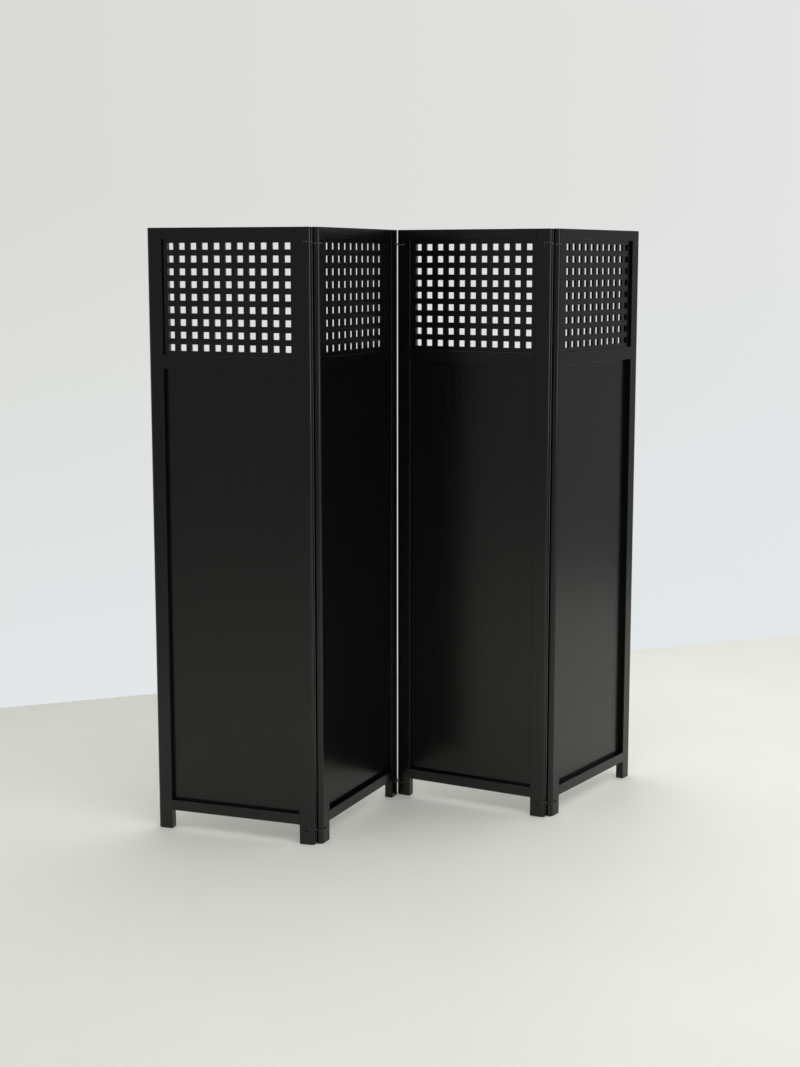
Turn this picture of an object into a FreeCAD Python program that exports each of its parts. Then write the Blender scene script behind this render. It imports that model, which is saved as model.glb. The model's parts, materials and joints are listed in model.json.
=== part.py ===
"""Four-panel folding screen: wooden lattice over a plain board, hinged with laced cords.

Millimetres and degrees. +Z is up and the feet stand on z = 0. The panels stand in a zigzag that
runs along X with its front faces towards -Y, and the origin is under the middle of the screen.

Each panel is drawn in its own frame: x from the tip of its left stile to the tip of its right one,
y the depth behind its front face, z up from the floor.
"""
import FreeCAD, Part

import math
import os
import re

import Sketcher

SIZES = [
    ("screen_height", 1850),
    # frame of a panel
    ("stile_width", 48),
    ("frame_thickness", 26),
    ("top_rail_height", 32),
    ("middle_rail_height", 40),
    ("bottom_rail_height", 33),
    ("foot_height", 60),
    ("edge_easing", 1.2),
    # lattice
    ("lattice_columns", 11),
    ("lattice_rows", 9),
    ("opening_side", 19.4),
    ("slat_width", 18),
    ("slat_thickness", 7),
    ("slat_housing", 8),
    ("side_bar_width", 16.3),
    ("end_bar_height", 13),
    ("lattice_setback", 9),
    ("bar_back_setback", 2),
    # board
    ("board_thickness", 3.5),
    ("board_setback", 16),
    ("groove_depth", 9),
    ("board_play", 1),
    # joinery
    ("dowel_diameter", 8),
    ("dowel_length", 40),
    ("dowel_spacing", 16),
    ("joint_clearance", 0.1),
    # hinge cords
    ("cord_diameter", 3.6),
    ("cord_clearance", 0.2),
    ("cord_groove_depth", 1.4),
    ("strand_gap", 0.4),
    ("cord_hole_play", 0.2),
    ("cord_hole_inset", 24),
    ("cord_hole_from_end", 45),
    ("cord_bend_inside", 1.7),
    ("cord_sway_radius", 8),
    # how the screen stands: the first panel's heading, the turn at each junction, and how far the
    # slack of the cords has let each pair of stiles draw apart
    ("first_heading", -36.5),
    ("turn_12", 82),
    ("turn_23", -90),
    ("turn_34", 80),
    ("slack_12", 0.2),
    ("slack_23", 3),
    ("slack_34", 0.2),
]

doc = FreeCAD.newDocument("FoldingScreen")
sheet = doc.addObject("Spreadsheet::Sheet", "Sizes")
for row, (alias, value) in enumerate(SIZES, start=1):
    sheet.set(f"A{row}", alias)
    sheet.set(f"B{row}", str(value))
    sheet.setAlias(f"B{row}", alias)
doc.recompute()


def cells(formula):
    """A formula of aliases, with each alias made a reference to its cell."""
    return re.sub(r"[a-z]\w*", lambda alias: "Sizes." + alias.group(), formula)


def number(formula):
    """The present value of a formula of aliases."""
    return float(sheet.evalExpression(cells(formula)))


# Lengths that pieces share, as formulas of the sizes.
PITCH = "(opening_side + slat_width)"
LATTICE_WIDTH = f"(2 * side_bar_width + lattice_columns * {PITCH} - slat_width)"
LATTICE_HEIGHT = f"(2 * end_bar_height + lattice_rows * {PITCH} - slat_width)"
PANEL_WIDTH = f"(2 * stile_width + {LATTICE_WIDTH})"
RIGHT_STILE = f"({PANEL_WIDTH} - stile_width)"
LATTICE_TOP = "(screen_height - top_rail_height)"
LATTICE_BOTTOM = f"({LATTICE_TOP} - {LATTICE_HEIGHT})"
BOARD_AREA_TOP = f"({LATTICE_BOTTOM} - middle_rail_height)"
BOARD_AREA_BOTTOM = "(foot_height + bottom_rail_height)"
FIRST_UPRIGHT = "(stile_width + side_bar_width + opening_side)"
FIRST_CROSSBAR = f"({LATTICE_BOTTOM} + end_bar_height + opening_side)"
BAR_DEPTH = "(frame_thickness - lattice_setback - bar_back_setback)"
NOSE_RADIUS = "(frame_thickness / 2)"
SLOT_WIDTH = "(slat_width + 2 * joint_clearance)"
GROOVE_FRONT = "(board_setback - joint_clearance)"
GROOVE_WIDTH = "(board_thickness + 2 * joint_clearance)"
DOWEL_HOLE_DIAMETER = "(dowel_diameter + 2 * joint_clearance)"
DOWEL_HOLE_DEPTH = "(dowel_length / 2 + joint_clearance)"
CORD_HOLE_DIAMETER = "(2 * (cord_diameter + strand_gap / 2 + cord_hole_play))"
CORD_GROOVE_HEIGHT = "(2 * (cord_diameter + strand_gap / 2 + joint_clearance))"
CORD_LINE_RADIUS = "(frame_thickness / 2 - cord_groove_depth + cord_clearance + cord_diameter / 2)"
CORD_BEND_RADIUS = "(cord_bend_inside + cord_diameter / 2)"
RAILS = [
    ("bottom_rail", "foot_height", "bottom_rail_height"),
    ("middle_rail", BOARD_AREA_TOP, "middle_rail_height"),
    ("top_rail", LATTICE_TOP, "top_rail_height"),
]


# ---------------------------------------------------------------------------
# Sketches and features
# ---------------------------------------------------------------------------
def new_sketch(body, plane, level):
    """A sketch on a plane of the body's own origin, moved along the plane's axis to a level.

    XY sketches lie at a height z, YZ sketches at a distance x. XZ sketches lie at a depth y: their
    normal points to the front, so the offset along it is the depth reversed.
    """
    sketch = body.newObject("Sketcher::SketchObject", body.Label + "_sketch")
    role = plane + "_Plane"
    origin = next(datum for datum in body.Origin.OriginFeatures if datum.Role == role)
    sketch.AttachmentSupport = [(origin, "")]
    sketch.MapMode = "FlatFace"
    offset = f"-({level})" if plane == "XZ" else level
    sketch.setExpression("AttachmentOffset.Base.z", cells(offset))
    return sketch


def dimension(sketch, kind, ends, formula):
    """A driving dimension of a sketch, bound to the sheet."""
    index = sketch.addConstraint(Sketcher.Constraint(kind, *ends, number(formula)))
    sketch.setExpression(f"Constraints[{index}]", cells(formula))


def relation(sketch, kind, *ends):
    sketch.addConstraint(Sketcher.Constraint(kind, *ends))


def draw_line(sketch, start, end):
    line = Part.LineSegment(FreeCAD.Vector(*start, 0), FreeCAD.Vector(*end, 0))
    return sketch.addGeometry(line, False)


def draw_rectangle(sketch, left, bottom, width, height):
    """A rectangle from its lower left corner, its width and its height."""
    x0, y0 = number(left), number(bottom)
    x1, y1 = x0 + number(width), y0 + number(height)
    corners = [(x0, y0), (x1, y0), (x1, y1), (x0, y1)]
    sides = [draw_line(sketch, *ends) for ends in zip(corners, corners[1:] + corners[:1])]
    for place, side in enumerate(sides):
        relation(sketch, "Vertical" if place % 2 else "Horizontal", side)
        relation(sketch, "Coincident", side, 2, sides[(place + 1) % 4], 1)
    dimension(sketch, "DistanceX", (-1, 1, sides[0], 1), left)
    dimension(sketch, "DistanceY", (-1, 1, sides[0], 1), bottom)
    dimension(sketch, "DistanceX", (sides[0], 1, sides[0], 2), width)
    dimension(sketch, "DistanceY", (sides[1], 1, sides[1], 2), height)


def draw_circle(sketch, across, up, diameter):
    centre = FreeCAD.Vector(number(across), number(up), 0)
    round_edge = Part.Circle(centre, FreeCAD.Vector(0, 0, 1), number(diameter) / 2)
    index = sketch.addGeometry(round_edge, False)
    dimension(sketch, "DistanceX", (-1, 1, index, 3), across)
    dimension(sketch, "DistanceY", (-1, 1, index, 3), up)
    dimension(sketch, "Diameter", (index,), diameter)


def settle(body, feature):
    """Make a new feature the body's last one and work it out."""
    body.Tip = feature
    doc.recompute()
    return feature


def add(body, sketch, length, backwards=False):
    """Pad a sketch along its normal, or against it."""
    feature = body.newObject("PartDesign::Pad", body.Label + "_pad")
    feature.Profile = sketch
    feature.Reversed = backwards
    feature.setExpression("Length", cells(length))
    return settle(body, feature)


def cut(body, sketch, length, forwards=False):
    """Pocket a sketch to a depth against its normal, or along it. It must take wood away."""
    volume_before = body.Shape.Volume
    feature = body.newObject("PartDesign::Pocket", body.Label + "_cut")
    feature.Profile = sketch
    feature.Reversed = forwards
    feature.setExpression("Length", cells(length))
    settle(body, feature)
    if body.Shape.Volume > volume_before - 1e-3:
        raise RuntimeError(f"a cut in {body.Label} takes nothing away")
    return feature


def repeat(body, feature, along, spacing, count):
    """Repeat the body's last feature in a row along an axis of its sketch."""
    row_of = body.newObject("PartDesign::LinearPattern", body.Label + "_row")
    row_of.Originals = [feature]
    row_of.Direction = (feature.Profile[0], [along])
    row_of.Mode = "Spacing"
    row_of.setExpression("Offset", cells(spacing))
    row_of.setExpression("Occurrences", cells(count))
    return settle(body, row_of)


def ease_edges(body, feature, is_eased):
    """Round over the edges of a feature that pass a test, by the small easing of the frame."""
    names = [f"Edge{place}" for place, edge in enumerate(feature.Shape.Edges, start=1) if is_eased(edge)]
    fillet = body.newObject("PartDesign::Fillet", body.Label + "_easing")
    fillet.Base = (feature, names)
    fillet.setExpression("Radius", cells("edge_easing"))
    return settle(body, fillet)


def new_body(label):
    body = doc.addObject("PartDesign::Body", label)
    body.Label = label
    return body


def add_slabs(body, rectangles, front, thickness):
    """Pad rectangles of the front view from a depth backwards."""
    sketch = new_sketch(body, "XZ", front)
    for rectangle in rectangles:
        draw_rectangle(sketch, *rectangle)
    return add(body, sketch, thickness, backwards=True)


def cut_slabs(body, rectangles, front, thickness):
    """Pocket rectangles of the front view from a depth backwards."""
    sketch = new_sketch(body, "XZ", front)
    for rectangle in rectangles:
        draw_rectangle(sketch, *rectangle)
    return cut(body, sketch, thickness)


def dowel_sketch(body, distance, rails, diameter):
    """The end view of the dowels of some rails: two to each rail end, in front of the board's groove."""
    sketch = new_sketch(body, "YZ", distance)
    for _, bottom, height in rails:
        for side in ("-", "+"):
            level = f"({bottom} + {height} / 2 {side} dowel_spacing / 2)"
            draw_circle(sketch, "board_setback / 2", level, diameter)
    return sketch


# ---------------------------------------------------------------------------
# The pieces of one panel
# ---------------------------------------------------------------------------
def cord_groove_sketch(body, level, is_right):
    """The plan of the shallow groove that the cord lies in: from the hole along one face, round the
    half-round edge and back along the other face. Its outer side stands clear of the wood.
    """
    side, tip = ("-", PANEL_WIDTH) if is_right else ("+", "0")
    nose = f"({tip} {side} {NOSE_RADIUS})"
    hole = f"({tip} {side} cord_hole_inset)"
    outside = f"({tip} {side} -cord_groove_depth)"
    floor_radius = f"({NOSE_RADIUS} - cord_groove_depth)"
    sketch = new_sketch(body, "XY", level)
    depth, back, middle = number("cord_groove_depth"), number("frame_thickness"), number(NOSE_RADIUS)
    x_nose, x_hole, x_out = number(nose), number(hole), number(outside)
    x_floor = number(f"{tip} {side} cord_groove_depth")
    front_floor = draw_line(sketch, (x_hole, depth), (x_nose, depth))
    ends = [FreeCAD.Vector(x_nose, back - depth, 0), FreeCAD.Vector(x_floor, middle, 0),
            FreeCAD.Vector(x_nose, depth, 0)]
    round_floor = sketch.addGeometry(Part.Arc(*ends), False)
    corners = [(x_nose, back - depth), (x_hole, back - depth), (x_hole, back + depth),
               (x_out, back + depth), (x_out, -depth), (x_hole, -depth), (x_hole, depth)]
    lines = [draw_line(sketch, *pair) for pair in zip(corners, corners[1:])]
    # An arc always runs anticlockwise, so its ends change places on the right-hand stile.
    arc_back, arc_front = (2, 1) if is_right else (1, 2)
    relation(sketch, "Tangent", lines[0], 1, round_floor, arc_back)
    relation(sketch, "Tangent", round_floor, arc_front, front_floor, 2)
    for line, following in zip(lines, lines[1:] + [front_floor]):
        relation(sketch, "Coincident", line, 2, following, 1)
    for place, line in enumerate(lines + [front_floor]):
        relation(sketch, "Vertical" if place in (1, 3, 5) else "Horizontal", line)
    relation(sketch, "Vertical", lines[1], 1, front_floor, 1)
    dimension(sketch, "DistanceX", (-1, 1, round_floor, 3), nose)
    dimension(sketch, "DistanceY", (-1, 1, round_floor, 3), NOSE_RADIUS)
    dimension(sketch, "Radius", (round_floor,), floor_radius)
    dimension(sketch, "DistanceX", (-1, 1, front_floor, 1), hole)
    dimension(sketch, "DistanceX", (-1, 1, lines[3], 1), outside)
    dimension(sketch, "DistanceY", (lines[1], 1, lines[1], 2), "2 * cord_groove_depth")
    dimension(sketch, "DistanceY", (lines[5], 1, lines[5], 2), "2 * cord_groove_depth")
    return sketch


def stile(label, is_right, has_cord_holes):
    """An upright with a half-round outer edge, a groove for the board and holes for the dowels.

    Where a neighbour is hinged on, it also has a hole and a shallow groove for the cord near each end.
    """
    body = new_body(label)
    tip = PANEL_WIDTH if is_right else "0"
    inner = RIGHT_STILE if is_right else "stile_width"
    nose = f"({PANEL_WIDTH} - {NOSE_RADIUS})" if is_right else NOSE_RADIUS

    section = new_sketch(body, "XY", "0")
    x_tip, x_nose, x_inner = number(tip), number(nose), number(inner)
    radius, back = number(NOSE_RADIUS), number("frame_thickness")
    front_side = draw_line(section, (x_nose, 0), (x_inner, 0))
    inner_side = draw_line(section, (x_inner, 0), (x_inner, back))
    back_side = draw_line(section, (x_inner, back), (x_nose, back))
    ends = [FreeCAD.Vector(x_nose, back, 0), FreeCAD.Vector(x_tip, radius, 0), FreeCAD.Vector(x_nose, 0, 0)]
    half_round = section.addGeometry(Part.Arc(*ends), False)
    # An arc always runs anticlockwise, so its ends change places on the right-hand stile.
    arc_back, arc_front = (2, 1) if is_right else (1, 2)
    relation(section, "Coincident", front_side, 2, inner_side, 1)
    relation(section, "Coincident", inner_side, 2, back_side, 1)
    relation(section, "Vertical", inner_side)
    relation(section, "Tangent", back_side, 2, half_round, arc_back)
    relation(section, "Tangent", half_round, arc_front, front_side, 1)
    relation(section, "Horizontal", back_side)
    relation(section, "Horizontal", front_side)
    relation(section, "PointOnObject", front_side, 1, -1)
    dimension(section, "DistanceX", (-1, 1, half_round, 3), nose)
    dimension(section, "DistanceX", (-1, 1, inner_side, 1), inner)
    dimension(section, "DistanceY", (inner_side, 1, inner_side, 2), "frame_thickness")
    blank = add(body, section, "screen_height")

    def is_sharp(edge):
        """All but the two lines where the flat faces run into the half-round."""
        start, end = (vertex.Point for vertex in edge.Vertexes)
        return abs(start.z - end.z) < 1e-3 or abs(start.x - x_inner) < 1e-3

    ease_edges(body, blank, is_sharp)

    groove_start = RIGHT_STILE if is_right else "(stile_width - groove_depth)"
    groove = (groove_start, f"({BOARD_AREA_BOTTOM} - groove_depth)", "groove_depth",
              f"({BOARD_AREA_TOP} - {BOARD_AREA_BOTTOM} + 2 * groove_depth)")
    cut_slabs(body, [groove], GROOVE_FRONT, GROOVE_WIDTH)

    dowel_holes = dowel_sketch(body, inner, RAILS, DOWEL_HOLE_DIAMETER)
    cut(body, dowel_holes, DOWEL_HOLE_DEPTH, forwards=is_right)

    if has_cord_holes:
        view = new_sketch(body, "XZ", "0")
        across = f"({tip} {'-' if is_right else '+'} cord_hole_inset)"
        levels = ("cord_hole_from_end", "(screen_height - cord_hole_from_end)")
        for level in levels:
            draw_circle(view, across, level, CORD_HOLE_DIAMETER)
        cut(body, view, "frame_thickness")
        for level in levels:
            plan = cord_groove_sketch(body, f"({level} - {CORD_GROOVE_HEIGHT} / 2)", is_right)
            cut(body, plan, CORD_GROOVE_HEIGHT, forwards=True)
    return body


def rail(label, bottom, height, groove_at_top, groove_at_bottom):
    """A level member butted between the stiles, dowelled at both ends."""
    body = new_body(label)
    length = LATTICE_WIDTH
    x_axis = FreeCAD.Vector(1, 0, 0)
    blank = add_slabs(body, [("stile_width", bottom, length, height)], "0", "frame_thickness")
    ease_edges(body, blank, lambda edge: edge.tangentAt(edge.FirstParameter).cross(x_axis).Length < 1e-6)
    grooves = []
    if groove_at_top:
        grooves.append(("stile_width", f"({bottom} + {height} - groove_depth)", length, "groove_depth"))
    if groove_at_bottom:
        grooves.append(("stile_width", bottom, length, "groove_depth"))
    if grooves:
        cut_slabs(body, grooves, GROOVE_FRONT, GROOVE_WIDTH)
    for end, is_left in (("stile_width", True), (RIGHT_STILE, False)):
        dowel_holes = dowel_sketch(body, end, [(label, bottom, height)], DOWEL_HOLE_DIAMETER)
        cut(body, dowel_holes, DOWEL_HOLE_DEPTH, forwards=is_left)
    return body


def board(label):
    """The thin board, loose in its grooves so that it can shrink and swell."""
    body = new_body(label)
    reach = "(groove_depth - board_play)"
    height = f"({BOARD_AREA_TOP} - {BOARD_AREA_BOTTOM} + 2 * {reach})"
    outline = (f"(stile_width - {reach})", f"({BOARD_AREA_BOTTOM} - {reach})",
               f"({LATTICE_WIDTH} + 2 * {reach})", height)
    add_slabs(body, [outline], "board_setback", "board_thickness")
    return body


def lattice_side_bars(label):
    """The two upright bars of the lattice's rim, with housings for the ends of the crossbars."""
    body = new_body(label)
    lefts = ["stile_width", f"({RIGHT_STILE} - side_bar_width)"]
    bars = [(left, LATTICE_BOTTOM, "side_bar_width", LATTICE_HEIGHT) for left in lefts]
    add_slabs(body, bars, "lattice_setback", BAR_DEPTH)
    housing = "(slat_housing + joint_clearance)"
    level = f"({FIRST_CROSSBAR} - joint_clearance)"
    housings = [(f"(stile_width + side_bar_width - {housing})", level, housing, SLOT_WIDTH),
                (f"({RIGHT_STILE} - side_bar_width)", level, housing, SLOT_WIDTH)]
    pair = cut_slabs(body, housings, "lattice_setback", "slat_thickness + joint_clearance")
    repeat(body, pair, "V_Axis", PITCH, "lattice_rows - 1")
    return body


def lattice_end_bars(label):
    """The two level bars of the lattice's rim, with housings for the ends of the uprights."""
    body = new_body(label)
    left = "(stile_width + side_bar_width)"
    length = f"({LATTICE_WIDTH} - 2 * side_bar_width)"
    bottoms = [LATTICE_BOTTOM, f"({LATTICE_TOP} - end_bar_height)"]
    add_slabs(body, [(left, bottom, length, "end_bar_height") for bottom in bottoms],
              "lattice_setback", BAR_DEPTH)
    housing = "(slat_housing + joint_clearance)"
    across = f"({FIRST_UPRIGHT} - joint_clearance)"
    housings = [(across, f"({LATTICE_BOTTOM} + end_bar_height - {housing})", SLOT_WIDTH, housing),
                (across, f"({LATTICE_TOP} - end_bar_height)", SLOT_WIDTH, housing)]
    pair = cut_slabs(body, housings, "lattice_setback", "slat_thickness + joint_clearance")
    repeat(body, pair, "H_Axis", PITCH, "lattice_columns - 1")
    return body


def lattice_uprights(label):
    """The upright slats. Half of their thickness is cut away behind, where a crossbar passes."""
    body = new_body(label)
    bottom = f"({LATTICE_BOTTOM} + end_bar_height - slat_housing)"
    length = f"({LATTICE_HEIGHT} - 2 * end_bar_height + 2 * slat_housing)"
    first = add_slabs(body, [(FIRST_UPRIGHT, bottom, "slat_width", length)],
                      "lattice_setback", "slat_thickness")
    repeat(body, first, "H_Axis", PITCH, "lattice_columns - 1")
    strip = ("stile_width", f"({FIRST_CROSSBAR} - joint_clearance)", LATTICE_WIDTH, SLOT_WIDTH)
    lap = cut_slabs(body, [strip], "lattice_setback + slat_thickness / 2", "slat_thickness / 2")
    repeat(body, lap, "V_Axis", PITCH, "lattice_rows - 1")
    return body


def lattice_crossbars(label):
    """The level slats. Half of their thickness is cut away in front, where an upright passes."""
    body = new_body(label)
    left = "(stile_width + side_bar_width - slat_housing)"
    length = f"({LATTICE_WIDTH} - 2 * side_bar_width + 2 * slat_housing)"
    first = add_slabs(body, [(left, FIRST_CROSSBAR, length, "slat_width")],
                      "lattice_setback", "slat_thickness")
    repeat(body, first, "V_Axis", PITCH, "lattice_rows - 1")
    strip = (f"({FIRST_UPRIGHT} - joint_clearance)", LATTICE_BOTTOM, SLOT_WIDTH, LATTICE_HEIGHT)
    lap = cut_slabs(body, [strip], "lattice_setback", "slat_thickness / 2")
    repeat(body, lap, "H_Axis", PITCH, "lattice_columns - 1")
    return body


def dowels(label):
    """Two dowels in each rail end, half of each in the stile."""
    body = new_body(label)
    for joint in ("stile_width", RIGHT_STILE):
        start = f"({joint} - dowel_length / 2)"
        add(body, dowel_sketch(body, start, RAILS, "dowel_diameter"), "dowel_length")
    return body


# ---------------------------------------------------------------------------
# The hinge cords
# ---------------------------------------------------------------------------
def direction(angle):
    """The level unit vector at an angle from +X."""
    return FreeCAD.Vector(math.cos(math.radians(angle)), math.sin(math.radians(angle)), 0)


def level_arc(centre, radius, start, end):
    """An arc in a level plane, from one bearing to another."""
    bearings = (start, (start + end) / 2, end)
    return Part.Arc(*(centre + direction(bearing) * radius for bearing in bearings)).toShape()


def face_run(nose, to_hole, winding, level, radius):
    """The bend at the mouth of a hole and the run along the face to the start of the round edge.

    nose is the centre of the half-round edge and to_hole the bearing from it to the hole. winding is
    1 where the cord goes anticlockwise round the edge from this face, and -1 where it goes clockwise.
    radius is that of the cord's middle line round the edge.
    """
    bend = number(CORD_BEND_RADIUS)
    outward = direction(to_hole + winding * 90)
    along = direction(to_hole)
    round_start = nose + outward * radius + FreeCAD.Vector(0, 0, level)
    bend_end = round_start + along * (number(f"cord_hole_inset - {NOSE_RADIUS}") - bend)
    bend_centre = bend_end - outward * bend
    bend_middle = bend_centre + (outward + along) * (bend / math.sqrt(2))
    in_hole = bend_centre + along * bend
    bend_edge = Part.Arc(in_hole, bend_middle, bend_end).toShape()
    run_edge = Part.LineSegment(bend_end, round_start).toShape()
    return in_hole, [bend_edge, run_edge]


def strand(first, second, winding, level, radius):
    """One crossing of the cord: out of the first stile's hole, round its edge, through the gap
    between the two noses, round the other edge the other way and into the second stile's hole.

    first and second are each the centre of a half-round edge and the bearing from it to its hole.
    """
    lift = FreeCAD.Vector(0, 0, level)
    ends, edges = [], []
    across = second[0] - first[0]
    gap_bearing = math.degrees(math.atan2(across.y, across.x))
    for (nose, to_hole), bearing in ((first, gap_bearing), (second, gap_bearing + 180)):
        in_hole, run = face_run(nose, to_hole, winding, level, radius)
        face_bearing = to_hole + winding * 90
        sweep = (bearing - face_bearing) * winding % 360
        run.append(level_arc(nose + lift, radius, face_bearing, face_bearing + winding * sweep))
        ends.append(in_hole)
        edges.append(run)
    return ends, edges[0] + edges[1][::-1]


def passage(start, end):
    """The way through a hole from one strand's level to the other's: two arcs and a straight."""
    sway = number("cord_sway_radius")
    up = FreeCAD.Vector(0, 0, math.copysign(1, end.z - start.z))
    rise = abs(end.z - start.z)
    level_way = FreeCAD.Vector(end.x - start.x, end.y - start.y, 0)
    travel = level_way.Length
    ahead = level_way.normalize()
    centres_apart = math.hypot(travel, 2 * sway - rise)
    straight = math.sqrt(centres_apart ** 2 - (2 * sway) ** 2)
    slope = math.atan2(2 * sway, straight) - math.atan2(2 * sway - rise, travel)
    edges, joints = [], []
    for point, sense in ((start, 1), (end, -1)):
        centre = point + up * (sway * sense)
        bent = [centre + (ahead * math.sin(turn) - up * math.cos(turn)) * (sway * sense)
                for turn in (slope / 2, slope)]
        edges.append(Part.Arc(point, *bent).toShape())
        joints.append(bent[1])
    return [edges[0], Part.LineSegment(*joints).toShape(), edges[1]]


def hinge_cord(label, left_heading, right_heading, left_nose, right_nose, height):
    """A cord laced in a figure of eight, so that the panels fold both ways."""
    level = number("cord_diameter / 2 + strand_gap / 2")
    line_radius = (right_nose - left_nose).Length / 2
    left = (left_nose, left_heading + 180)
    right = (right_nose, right_heading)
    over_ends, over = strand(left, right, 1, height + level, line_radius)
    under_ends, under = strand(right, left, -1, height - level, line_radius)
    through_right = passage(over_ends[1], under_ends[0])
    through_left = passage(under_ends[1], over_ends[0])
    route = Part.Wire(over + through_right + under + through_left)
    radius = number("cord_diameter / 2")
    start = route.OrderedEdges[0]
    circle = Part.Circle(start.valueAt(start.FirstParameter), start.tangentAt(start.FirstParameter), radius)
    section = Part.Wire(circle.toShape())
    cord = doc.addObject("Part::Feature", label)
    cord.Label = label
    cord.Shape = route.makePipeShell([section], True, False)
    expected = math.pi * radius ** 2 * route.Length
    print(f"{label}: {route.Length:.1f} mm, volume {cord.Shape.Volume:.1f} of {expected:.1f} mm3")
    return cord


# ---------------------------------------------------------------------------
# The four panels and the cords between them
# ---------------------------------------------------------------------------
def build_panel(name, is_first, is_last):
    pieces = [
        stile(f"{name}_left_stile", False, not is_first),
        stile(f"{name}_right_stile", True, not is_last),
    ]
    for rail_name, bottom, height in RAILS:
        has_board_above = rail_name == "bottom_rail"
        has_board_below = rail_name == "middle_rail"
        pieces.append(rail(f"{name}_{rail_name}", bottom, height, has_board_above, has_board_below))
    pieces += [
        board(f"{name}_board"),
        lattice_side_bars(f"{name}_lattice_side_bars"),
        lattice_end_bars(f"{name}_lattice_end_bars"),
        lattice_uprights(f"{name}_lattice_uprights"),
        lattice_crossbars(f"{name}_lattice_crossbars"),
        dowels(f"{name}_dowels"),
    ]
    return pieces


headings = [number("first_heading")]
for turn in ("turn_12", "turn_23", "turn_34"):
    headings.append(headings[-1] + number(turn))

nose_radius = number(NOSE_RADIUS)
panel_span = number(f"{PANEL_WIDTH} - 2 * {NOSE_RADIUS}")
left_noses = [FreeCAD.Vector(0, 0, 0)]
right_noses = [left_noses[0] + direction(headings[0]) * panel_span]
for slack, heading, next_heading in zip(("slack_12", "slack_23", "slack_34"), headings, headings[1:]):
    between_noses = number(f"2 * {CORD_LINE_RADIUS} + {slack}")
    left_noses.append(right_noses[-1] + direction((heading + next_heading) / 2) * between_noses)
    right_noses.append(left_noses[-1] + direction(next_heading) * panel_span)

pieces = []
for place, heading in enumerate(headings):
    is_first, is_last = place == 0, place == len(headings) - 1
    turned = FreeCAD.Rotation(FreeCAD.Vector(0, 0, 1), heading)
    corner = left_noses[place] - turned.multVec(FreeCAD.Vector(nose_radius, nose_radius, 0))
    for piece in build_panel(f"panel_{place + 1}", is_first, is_last):
        piece.Placement = FreeCAD.Placement(corner, turned)
        pieces.append(piece)

for place in range(len(headings) - 1):
    junction = f"hinge_{place + 1}{place + 2}"
    ends = (headings[place], headings[place + 1], right_noses[place], left_noses[place + 1])
    pieces.append(hinge_cord(f"{junction}_bottom_cord", *ends, number("cord_hole_from_end")))
    pieces.append(hinge_cord(f"{junction}_top_cord", *ends, number("screen_height - cord_hole_from_end")))

print(f"cord radii: {number(CORD_BEND_RADIUS):g} mm at the holes, {number(CORD_LINE_RADIUS):g} mm or more round",
      f"the edges, {number('cord_sway_radius'):g} mm inside the holes")

# The origin goes under the middle of everything.
extent = FreeCAD.BoundBox()
for piece in pieces:
    extent.add(piece.Shape.optimalBoundingBox(False, False))
to_origin = FreeCAD.Vector(-extent.Center.x, -extent.Center.y, 0)
for piece in pieces:
    placement = piece.Placement
    piece.Placement = FreeCAD.Placement(placement.Base + to_origin, placement.Rotation)
doc.recompute()

for thing in doc.Objects:
    if "Invalid" in thing.State or "Error" in thing.State:
        raise RuntimeError(f"{thing.Label} failed: {thing.State}")
for piece in pieces:
    if piece.Shape.isNull() or not piece.Shape.isValid():
        raise RuntimeError(f"{piece.Label} has no valid shape")

os.makedirs("parts", exist_ok=True)
for piece in pieces:
    piece.Shape.exportStep(f"parts/{piece.Label}.step")
print(f"{len(pieces)} nodes, {extent.XLength:.2f} x {extent.YLength:.2f} x {extent.ZLength:.2f} mm overall")
for place, axes in enumerate(zip(right_noses, left_noses[1:]), start=1):
    points = [axis + to_origin for axis in axes]
    print(f"hinge axes {place}{place + 1}:", *(f"({point.x:.4f}, {point.y:.4f})" for point in points))
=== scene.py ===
import json
import math

import bpy
import numpy as np
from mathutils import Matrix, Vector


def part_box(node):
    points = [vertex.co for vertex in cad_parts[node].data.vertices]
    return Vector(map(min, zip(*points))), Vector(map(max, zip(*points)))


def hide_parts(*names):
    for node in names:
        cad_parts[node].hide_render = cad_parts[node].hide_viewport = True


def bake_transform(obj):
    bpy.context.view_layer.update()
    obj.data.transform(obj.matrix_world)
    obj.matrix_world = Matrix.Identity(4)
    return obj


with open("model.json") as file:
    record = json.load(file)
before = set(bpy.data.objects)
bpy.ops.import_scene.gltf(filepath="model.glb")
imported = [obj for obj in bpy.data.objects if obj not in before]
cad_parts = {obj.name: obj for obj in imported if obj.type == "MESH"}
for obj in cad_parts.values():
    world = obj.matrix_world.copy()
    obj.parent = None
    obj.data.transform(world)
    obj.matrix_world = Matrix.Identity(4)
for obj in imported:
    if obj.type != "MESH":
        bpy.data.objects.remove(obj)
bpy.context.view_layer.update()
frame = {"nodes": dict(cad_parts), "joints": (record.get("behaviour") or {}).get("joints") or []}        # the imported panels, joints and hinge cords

nodes = frame["nodes"]

# ---------------------------------------------------------------------------------------------
# The stiles: solid beech uprights, planed square on one side and rounded to a half-circle on the
# other, stained black and sprayed with satin lacquer. The rails are dowelled between them. Grain
# runs up the stiles.
# ---------------------------------------------------------------------------------------------
MM = 0.001
RING_SIZE = (420 * MM, 9 * MM)      # one streak of the grain, along and across
PORE_SIZE = (14 * MM, 0.7 * MM)     # real pores are 0.1 mm wide, and no render would show them
RIPPLE_WIDTH = 25 * MM              # sprayed lacquer dries with a faint ripple
PORE_SHARE = 0.25                   # how deep the pores are beside the ripple
RELIEF_DEPTH = 0.12 * MM
SMOOTHEST = 0.2                     # roughness of the lacquer at its smoothest
STREAK_ROUGHNESS = 0.14             # what a full streak adds to it


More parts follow.
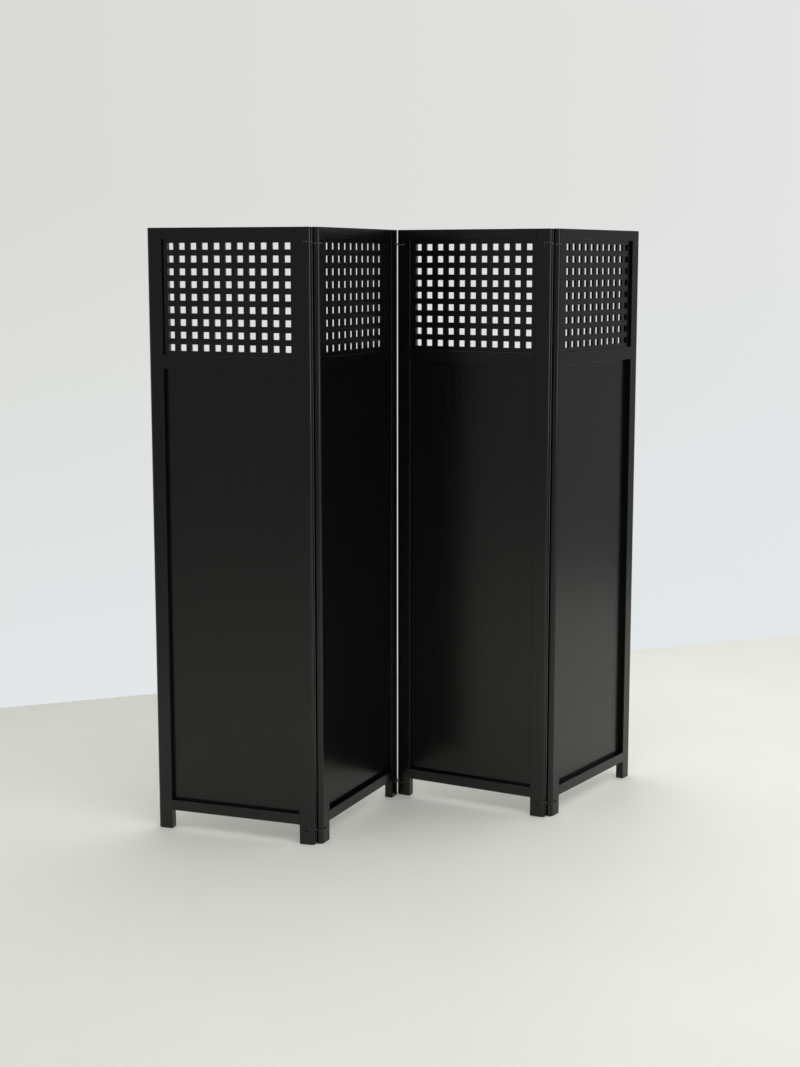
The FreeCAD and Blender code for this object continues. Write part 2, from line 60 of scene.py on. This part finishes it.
def linear(hex_colour):
    """An sRGB hex colour as the linear RGBA that a shader takes."""
    channels = np.array([int(hex_colour[i:i + 2], 16) for i in (1, 3, 5)]) / 255
    curved = np.where(channels <= 0.04045, channels / 12.92, ((channels + 0.055) / 1.055) ** 2.4)
    return (*curved, 1.0)


def add_node(tree, kind, inputs=(), **settings):
    """Adds a node, gives it its settings, and fills or links its inputs."""
    node = tree.nodes.new(kind)
    for setting, value in settings.items():
        setattr(node, setting, value)
    for socket, value in dict(inputs).items():
        if isinstance(value, bpy.types.NodeSocket):
            tree.links.new(value, node.inputs[socket])
        else:
            node.inputs[socket].default_value = value
    return node


def new_material(name):
    """An empty material, and its node tree."""
    material = bpy.data.materials.new(name)
    material.use_nodes = True
    material.node_tree.nodes.clear()
    return material, material.node_tree


def lacquered_wood(name, heading=None, streak=0.35):
    """Black-stained beech under satin nitrocellulose lacquer.

    The stain leaves the wood almost black, a little browner in the dense late wood. The lacquer is
    even and smooth, so what the eye gets is a soft, blurred reflection that breaks up faintly along
    the grain, where the pores have drawn the lacquer in. heading is the bearing of the grain of a
    level piece, in degrees; a piece without one has its grain upright.
    """
    material, tree = new_material(name)
    place = add_node(tree, "ShaderNodeTexCoord").outputs["Object"]

    def along_grain(length, width):
        """Coordinates in which one unit is that length along the grain and that width across."""
        level = heading is not None
        size = (length, width, width) if level else (width, width, length)
        turn = (0, 0, math.radians(heading)) if level else (0, 0, 0)
        return add_node(tree, "ShaderNodeMapping", {"Vector": place, "Rotation": turn, "Scale": size},
                        vector_type="TEXTURE").outputs["Vector"]

    rings = add_node(tree, "ShaderNodeTexNoise", {
        "Vector": along_grain(*RING_SIZE), "Scale": 1.0, "Detail": 3.0, "Roughness": 0.55})
    pores = add_node(tree, "ShaderNodeTexNoise", {
        "Vector": along_grain(*PORE_SIZE), "Scale": 1.0, "Detail": 2.0, "Roughness": 0.6})
    ripple = add_node(tree, "ShaderNodeTexNoise", {
        "Vector": place, "Scale": 1 / RIPPLE_WIDTH, "Detail": 1.0})

    tone = add_node(tree, "ShaderNodeValToRGB", {"Fac": rings.outputs["Fac"]})
    tone.color_ramp.elements[0].position, tone.color_ramp.elements[1].position = 0.35, 0.68
    tone.color_ramp.elements[0].color = linear("#030303")
    tone.color_ramp.elements[1].color = linear("#070605")
    gloss = add_node(tree, "ShaderNodeMapRange", {
        "Value": rings.outputs["Fac"], "From Min": 0.3, "From Max": 0.7,
        "To Min": SMOOTHEST, "To Max": SMOOTHEST + STREAK_ROUGHNESS * streak})
    relief = add_node(tree, "ShaderNodeMath", {
        0: pores.outputs["Fac"], 1: PORE_SHARE, 2: ripple.outputs["Fac"]}, operation="MULTIPLY_ADD")
    bump = add_node(tree, "ShaderNodeBump", {
        "Height": relief.outputs[0], "Strength": 0.35, "Distance": RELIEF_DEPTH})
    shader = add_node(tree, "ShaderNodeBsdfPrincipled", {
        "Base Color": tone.outputs["Color"], "Roughness": gloss.outputs["Result"],
        "IOR": 1.45, "Normal": bump.outputs["Normal"]})
    add_node(tree, "ShaderNodeOutputMaterial", {"Surface": shader.outputs[0]})
    return material


def finish_node(node, material):
    """Gives a CAD piece its material."""
    slots = nodes[node].data.materials
    slots.clear()
    slots.append(material)


upright_wood = lacquered_wood("lacquered_beech_upright_grain")
PANELS = range(1, 5)
for panel in PANELS:
    for side in ("left", "right"):
        finish_node(f"panel_{panel}_{side}_stile", upright_wood)

# ---------------------------------------------------------------------------------------------
# The rails: three level members to a panel, cut from the same beech and finished with it. Their
# grain runs along the panel, so each panel's rails have a material turned to its heading.
# ---------------------------------------------------------------------------------------------
folds = {joint["name"]: joint for joint in frame["joints"]}


def bearing_of(start, end):
    """The bearing of one joint from another, seen from above."""
    across = np.array(folds[end]["pos_m"]) - np.array(folds[start]["pos_m"])
    return math.degrees(math.atan2(across[1], across[0]))


# A middle panel points from its left joint to its right one. At each junction the link between the
# two joints points halfway between the two panels, which gives the heading of the outer panels.
HINGES = ("12", "23", "34")
gap_bearings = {hinge: bearing_of(f"fold_{hinge}_left", f"fold_{hinge}_right") for hinge in HINGES}
headings = {2: bearing_of("fold_12_right", "fold_23_left"),
            3: bearing_of("fold_23_right", "fold_34_left")}
headings[1] = 2 * gap_bearings["12"] - headings[2]
headings[4] = 2 * gap_bearings["34"] - headings[3]

level_wood = {}
for panel in PANELS:
    level_wood[panel] = lacquered_wood(f"lacquered_beech_level_grain_{panel}", headings[panel])
    for rail in ("top", "middle", "bottom"):
        finish_node(f"panel_{panel}_{rail}_rail", level_wood[panel])

# ---------------------------------------------------------------------------------------------
# The boards: thin plywood faced with plain veneer, let into grooves in the stiles and rails. The
# veneer's grain stands upright and shows a little more than that of the solid wood.
# ---------------------------------------------------------------------------------------------
veneer = lacquered_wood("lacquered_veneer", streak=0.5)
for panel in PANELS:
    finish_node(f"panel_{panel}_board", veneer)

# ---------------------------------------------------------------------------------------------
# The lattice: thin slats half-lapped flush with one another, let into a rim of deeper bars. The
# uprights and the side bars have upright grain; the crossbars and the end bars have level grain.
# ---------------------------------------------------------------------------------------------
for panel in PANELS:
    for piece in ("lattice_uprights", "lattice_side_bars"):
        finish_node(f"panel_{panel}_{piece}", upright_wood)
    for piece in ("lattice_crossbars", "lattice_end_bars"):
        finish_node(f"panel_{panel}_{piece}", level_wood[panel])

# ---------------------------------------------------------------------------------------------
# The dowels: plain grooved beech pins glued into the rail ends and the stiles. They're bare wood,
# pale and dry, and nothing of them shows once the frame is together.
# ---------------------------------------------------------------------------------------------
bare_beech, bare_tree = new_material("bare_beech")
bare_place = add_node(bare_tree, "ShaderNodeTexCoord").outputs["Object"]
bare_flecks = add_node(bare_tree, "ShaderNodeTexNoise", {
    "Vector": bare_place, "Scale": 1 / (1.5 * MM), "Detail": 2.0})
bare_tone = add_node(bare_tree, "ShaderNodeValToRGB", {"Fac": bare_flecks.outputs["Fac"]})
bare_tone.color_ramp.elements[0].color = linear("#b98f62")
bare_tone.color_ramp.elements[1].color = linear("#d3ad80")
bare_shader = add_node(bare_tree, "ShaderNodeBsdfPrincipled", {
    "Base Color": bare_tone.outputs["Color"], "Roughness": 0.7})
add_node(bare_tree, "ShaderNodeOutputMaterial", {"Surface": bare_shader.outputs[0]})
for panel in PANELS:
    finish_node(f"panel_{panel}_dowels", bare_beech)

# ---------------------------------------------------------------------------------------------
# The hinge cords: black braided polyester, laced in a figure of eight through a hole in each of
# two stiles and pulled tight round their edges. Each cord is made in four stretches, one for each
# face of each stile.
# ---------------------------------------------------------------------------------------------
CORD_RADIUS = 1.8 * MM
STRAND_LIFT = 2.0 * MM        # of one strand above the cord's middle level, and of the other below
HOLE_FROM_CENTRE = 11 * MM
MOUTH_BEND = 3.5 * MM         # radius of the turn from a hole onto the face
HOLE_SWAY = 8 * MM            # radius of the bend inside the hole
SWAY_POINTS, BEND_POINTS, EDGE_POINTS = 12, 40, 160
BRAID_STRANDS = 6
BRAID_PITCH = 13 * MM
VALLEY_SHARE, RIDGE_SHARE = 0.9, 0.1      # of the cord's radius
RING_STEP = 0.3 * MM
ROUND_STEPS = 36


def unit(bearing):
    """The level direction with that bearing, in degrees."""
    return np.array([math.cos(math.radians(bearing)), math.sin(math.radians(bearing)), 0.0])


def quarter_route(edge_radius, sweep):
    """Half of one strand, from the middle of a hole to the middle of the gap between two stiles.

    Given as (along, out, up): along from the round edge's centre towards the hole, out from the
    stile's middle to its face, up from the cord's own level. It sways up from the hole's middle,
    bends out of the mouth, runs along the face and goes round the edge by the sweep, in degrees.
    """
    mouth = edge_radius - MOUTH_BEND
    reach = math.hypot(2 * mouth, 2 * (HOLE_SWAY - STRAND_LIFT))
    straight = math.sqrt(reach ** 2 - 4 * HOLE_SWAY ** 2)
    slope = math.atan2(2 * HOLE_SWAY, straight) - math.atan2(HOLE_SWAY - STRAND_LIFT, mouth)
    tilt = np.linspace(slope, 0, SWAY_POINTS)
    quarter_turn = np.linspace(math.pi / 2, 0, BEND_POINTS)
    round_edge = np.radians(np.linspace(0, sweep, EDGE_POINTS))
    sway = np.stack([np.full(SWAY_POINTS, HOLE_FROM_CENTRE), mouth - HOLE_SWAY * np.sin(tilt),
                     STRAND_LIFT - HOLE_SWAY * (1 - np.cos(tilt))], 1)
    bend = np.stack([HOLE_FROM_CENTRE - MOUTH_BEND * (1 - np.sin(quarter_turn)),
                     mouth + MOUTH_BEND * np.cos(quarter_turn), np.full(BEND_POINTS, STRAND_LIFT)], 1)
    edge = np.stack([-edge_radius * np.sin(round_edge), edge_radius * np.cos(round_edge),
                     np.full(EDGE_POINTS, STRAND_LIFT)], 1)
    middle = np.array([[HOLE_FROM_CENTRE, 0, 0]])
    return np.concatenate([middle, sway, bend[1:], edge])


def evenly_spaced(points, step):
    """The same line with points at equal distances along it, and those distances."""
    gaps = np.linalg.norm(np.diff(points, axis=0), axis=1)
    reached = np.concatenate([[0], np.cumsum(gaps)])
    wanted = np.linspace(0, reached[-1], max(2, round(reached[-1] / step)))
    return np.stack([np.interp(wanted, reached, points[:, axis]) for axis in range(3)], 1), wanted


def braided_tube(name, points, reached):
    """A tube of braided cord along a line, closed at both ends.

    Its radius swells where a strand lies on top. Two sets of strands wind opposite ways; each
    strand is a ridge shaped as the root of a sine, and the set on top changes at every crossing.
    """
    ahead = np.gradient(points, axis=0)
    ahead /= np.linalg.norm(ahead, axis=1, keepdims=True)
    side = np.cross(ahead, [0, 0, 1])
    side /= np.linalg.norm(side, axis=1, keepdims=True)
    above = np.cross(side, ahead)
    angle = np.linspace(0, 2 * math.pi, ROUND_STEPS, endpoint=False)
    around, way = np.meshgrid(angle / (2 * math.pi), reached / BRAID_PITCH)
    right_hand = np.sqrt(np.abs(np.sin(math.pi * BRAID_STRANDS * (around + way))))
    left_hand = np.sqrt(np.abs(np.sin(math.pi * BRAID_STRANDS * (around - way))))
    on_top = 0.5 + 0.5 * np.cos(2 * math.pi * BRAID_STRANDS * around) * np.cos(
        2 * math.pi * BRAID_STRANDS * way)
    ridge = right_hand * on_top + left_hand * (1 - on_top)
    radius = CORD_RADIUS * (VALLEY_SHARE + RIDGE_SHARE * ridge)
    ring = (side[:, None] * np.cos(angle)[None, :, None]
            + above[:, None] * np.sin(angle)[None, :, None])
    skin = (points[:, None] + ring * radius[:, :, None]).reshape(-1, 3)
    ring_offset = np.arange(len(points) - 1)[:, None] * ROUND_STEPS
    first = ring_offset + np.arange(ROUND_STEPS)
    second = ring_offset + (np.arange(ROUND_STEPS) + 1) % ROUND_STEPS
    sides = np.stack([first, second, second + ROUND_STEPS, first + ROUND_STEPS], -1).reshape(-1, 4)
    vertices = np.concatenate([skin, points[[0, -1]]])
    start_ring = np.arange(ROUND_STEPS)
    end_ring = start_ring + (len(points) - 1) * ROUND_STEPS
    caps = [np.stack([np.full(ROUND_STEPS, len(skin)), np.roll(start_ring, -1), start_ring], 1),
            np.stack([np.full(ROUND_STEPS, len(skin) + 1), end_ring, np.roll(end_ring, -1)], 1)]
    mesh = bpy.data.meshes.new(name)
    mesh.from_pydata(vertices.tolist(), [], sides.tolist() + np.concatenate(caps).tolist())
    mesh.polygons.foreach_set("use_smooth", np.ones(len(mesh.polygons), bool))
    # How deep in a valley between strands each point lies: the mask of the painted shade there.
    valley_shade = np.concatenate([1 - ridge.ravel(), [0, 0]]).astype(np.float32)
    mesh.attributes.new("valley_shade", "FLOAT", "POINT").data.foreach_set("value", valley_shade)
    mesh.update()
    piece = bpy.data.objects.new(name, mesh)
    bpy.context.scene.collection.objects.link(piece)
    return piece


# Spun polyester, dyed black and faintly waxed by handling: dull, with a soft sheen on each strand.
# Its colour is painted darker in the valleys between the strands: painted shade in the creases.
cord_yarn, cord_tree = new_material("braided_polyester")
cord_valley_shade = add_node(cord_tree, "ShaderNodeAttribute", attribute_name="valley_shade")
# The dye's black on the strands, painted darker in the valleys between them as painted shade.
cord_dye_and_shade = add_node(cord_tree, "ShaderNodeValToRGB", {"Fac": cord_valley_shade.outputs["Fac"]})
cord_dye_and_shade.color_ramp.elements[0].color = linear("#222224")
cord_dye_and_shade.color_ramp.elements[1].color = linear("#0b0b0c")
cord_shader = add_node(cord_tree, "ShaderNodeBsdfPrincipled", {
    "Base Color": cord_dye_and_shade.outputs["Color"], "Roughness": 0.62, "Sheen Weight": 0.25,
    "Sheen Roughness": 0.4})
add_node(cord_tree, "ShaderNodeOutputMaterial", {"Surface": cord_shader.outputs[0]})

for hinge in HINGES:
    centres = np.array([folds[f"fold_{hinge}_{side}"]["pos_m"] for side in ("left", "right")])
    edge_radius = float(np.linalg.norm(centres[1] - centres[0])) / 2
    left_panel, right_panel = int(hinge[0]), int(hinge[1])
    bearing, turn = gap_bearings[hinge], headings[right_panel] - headings[left_panel]
    stiles = (("left", f"panel_{left_panel}", centres[0], headings[left_panel] + 180, 1),
              ("right", f"panel_{right_panel}", centres[1], headings[right_panel], -1))
    for level in ("bottom", "top"):
        cad_cord = f"hinge_{hinge}_{level}_cord"
        low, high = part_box(cad_cord)
        height = (low.z + high.z) / 2
        for stile, panel, centre, to_hole, hand in stiles:
            for winding in (1, -1):
                face = "front" if winding * hand > 0 else "back"
                route = quarter_route(edge_radius, 90 + hand * winding * turn / 2)
                out = unit(to_hole + winding * 90)
                place = centre + np.array([0, 0, height])
                points = (place + route[:, :1] * unit(to_hole) + route[:, 1:2] * out
                          + route[:, 2:] * np.array([0, 0, winding]))
                points, reached = evenly_spaced(points, RING_STEP)
                cord = braided_tube(f"{cad_cord}_{stile}_{face}", points, reached)
                cord.data.materials.append(cord_yarn)
                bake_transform(cord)
                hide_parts(cad_cord)

# ---------------------------------------------------------------------------------------------
# The floor and the wall behind: a plain pale painted room. The wall is seen from its front only,
# so it's clear from behind, and it casts no shadow. The camera sees the wall glow in fixed colours,
# a little warmer and darker at the left as painted shade, and cooler at its foot; everything else
# sees it as paint under the room's light.
# ---------------------------------------------------------------------------------------------
FLOOR_END = 4.2        # to the right; the room beyond is left dim
FLOOR_REACH = 14.0
WALL_HEIGHT = 12.0
WALL_FOOT = ((-1.18, 1.65), (2.52, 1.75))      # two points of the wall's foot, x and y
COOL_FOOT = (0.1, 2.0)                         # heights between which its cooler foot fades


def flat_quad(name, corners):
    """A flat four-cornered piece of the room."""
    mesh = bpy.data.meshes.new(name)
    mesh.from_pydata(corners, [], [tuple(range(4))])
    piece = bpy.data.objects.new(name, mesh)
    bpy.context.scene.collection.objects.link(piece)
    return piece


floor = flat_quad("floor", [(-FLOOR_REACH, -FLOOR_REACH, 0), (FLOOR_END, -FLOOR_REACH, 0),
                            (FLOOR_END, FLOOR_REACH, 0), (-FLOOR_REACH, FLOOR_REACH, 0)])
floor_paint, floor_tree = new_material("painted_concrete")
floor_place = add_node(floor_tree, "ShaderNodeTexCoord").outputs["Object"]
floor_clouds = add_node(floor_tree, "ShaderNodeTexNoise", {
    "Vector": floor_place, "Scale": 1.4, "Detail": 4.0})
floor_tone = add_node(floor_tree, "ShaderNodeValToRGB", {"Fac": floor_clouds.outputs["Fac"]})
floor_tone.color_ramp.elements[0].color = linear("#e3e3da")
floor_tone.color_ramp.elements[1].color = linear("#ecece4")
floor_shader = add_node(floor_tree, "ShaderNodeBsdfPrincipled", {
    "Base Color": floor_tone.outputs["Color"], "Roughness": 0.6})
add_node(floor_tree, "ShaderNodeOutputMaterial", {"Surface": floor_shader.outputs[0]})
floor.data.materials.append(floor_paint)

(x0, y0), (x1, y1) = WALL_FOOT
slant = (y1 - y0) / (x1 - x0)
ends = [(x, y0 + (x - x0) * slant) for x in (-FLOOR_REACH, FLOOR_END)]
wall = flat_quad("wall", [(*ends[0], 0), (*ends[1], 0),
                          (*ends[1], WALL_HEIGHT), (*ends[0], WALL_HEIGHT)])
wall.visible_shadow = False
wall_paint, wall_tree = new_material("wall_paint")
wall_side = add_node(wall_tree, "ShaderNodeNewGeometry").outputs["Backfacing"]
wall_front = add_node(wall_tree, "ShaderNodeBsdfPrincipled", {
    "Base Color": linear("#e6e8e6"), "Roughness": 0.9})
wall_clear = add_node(wall_tree, "ShaderNodeBsdfTransparent")
wall_place = add_node(wall_tree, "ShaderNodeTexCoord").outputs["Object"]
wall_axes = add_node(wall_tree, "ShaderNodeSeparateXYZ", {"Vector": wall_place})
wall_along = add_node(wall_tree, "ShaderNodeMapRange", {
    "Value": wall_axes.outputs["X"], "From Min": x0, "From Max": x1})
# Darker and warmer at the left: painted shade, as the room's light falls from the right.
wall_tone_and_painted_shade = add_node(wall_tree, "ShaderNodeValToRGB", {"Fac": wall_along.outputs["Result"]})
wall_tone_and_painted_shade.color_ramp.elements[0].color = linear("#dadad5")
wall_tone_and_painted_shade.color_ramp.elements[1].color = linear("#e4e5e4")
wall_low = add_node(wall_tree, "ShaderNodeMapRange", {
    "Value": wall_axes.outputs["Z"], "From Min": COOL_FOOT[0], "From Max": COOL_FOOT[1],
    "To Min": 0.9, "To Max": 0.0})
wall_seen = add_node(wall_tree, "ShaderNodeMix", {
    0: wall_low.outputs["Result"], 6: wall_tone_and_painted_shade.outputs["Color"], 7: linear("#e3e8ea")},
    data_type="RGBA")
# The wall glows in these colours for camera rays though it is no lamp, so its painted shade shows as
# it is.
wall_glow = add_node(wall_tree, "ShaderNodeEmission", {"Color": wall_seen.outputs[2]})
wall_to_camera = add_node(wall_tree, "ShaderNodeLightPath").outputs["Is Camera Ray"]
wall_paint_mix = add_node(wall_tree, "ShaderNodeMixShader", {
    0: wall_to_camera, 1: wall_front.outputs[0], 2: wall_glow.outputs[0]})
wall_mix = add_node(wall_tree, "ShaderNodeMixShader", {
    0: wall_side, 1: wall_paint_mix.outputs[0], 2: wall_clear.outputs[0]})
add_node(wall_tree, "ShaderNodeOutputMaterial", {"Surface": wall_mix.outputs[0]})
wall.data.materials.append(wall_paint)

# ---------------------------------------------------------------------------------------------
# Light: an even grey room with one wide soft lamp overhead and a tall soft one at the front right,
# which draws the thin light lines down the round edges.
# ---------------------------------------------------------------------------------------------
ROOM_GREY = (0.355, 0.36, 0.37, 1)

world = bpy.data.worlds.new("room")
bpy.context.scene.world = world
world.use_nodes = True
surroundings = world.node_tree.nodes["Background"]
surroundings.inputs["Color"].default_value = ROOM_GREY
surroundings.inputs["Strength"].default_value = 1.0


def soft_lamp(name, place, aim, width, height, watts):
    """A rectangular lamp at a place, turned to shine at another."""
    lamp = bpy.data.lights.new(name, "AREA")
    lamp.shape, lamp.size, lamp.size_y, lamp.energy = "RECTANGLE", width, height, watts
    piece = bpy.data.objects.new(name, lamp)
    piece.location = place
    direction = np.array(aim) - np.array(place)
    piece.rotation_euler = (
        math.atan2(math.hypot(direction[0], direction[1]), -direction[2]), 0,
        math.atan2(direction[0], -direction[1]) + math.pi)
    bpy.context.scene.collection.objects.link(piece)


soft_lamp("overhead", (1.0, -0.9, 4.2), (0.9, -0.8, 0), 7.0, 6.0, 215)
soft_lamp("window", (4.6, -5.6, 1.7), (0.2, 0, 1.0), 1.4, 2.6, 50)

# ---------------------------------------------------------------------------------------------
# The camera stands where the photograph was taken from: at eye height, a little to the left of the
# screen. Its lens and tilt come from fitting the edges, holes and feet of all four panels.
# ---------------------------------------------------------------------------------------------
CAMERA_PLACE = (-1.598, -4.679, 1.747)
CAMERA_TILT = 7.905
CAMERA_TURN = -18.247
LENS_MM = 53.85
PICTURE_HEIGHT = 1067
OPTICAL_CENTRE = 484.4      # rows below the top of the picture

camera = bpy.data.cameras.new("camera")
camera.lens = LENS_MM
camera.shift_y = (OPTICAL_CENTRE - PICTURE_HEIGHT / 2) / PICTURE_HEIGHT
viewpoint = bpy.data.objects.new("camera", camera)
viewpoint.location = CAMERA_PLACE
viewpoint.rotation_euler = (math.radians(90 - CAMERA_TILT), 0, math.radians(CAMERA_TURN))
bpy.context.scene.collection.objects.link(viewpoint)
bpy.context.scene.camera = viewpoint
bpy.context.scene.view_settings.view_transform = "Standard"
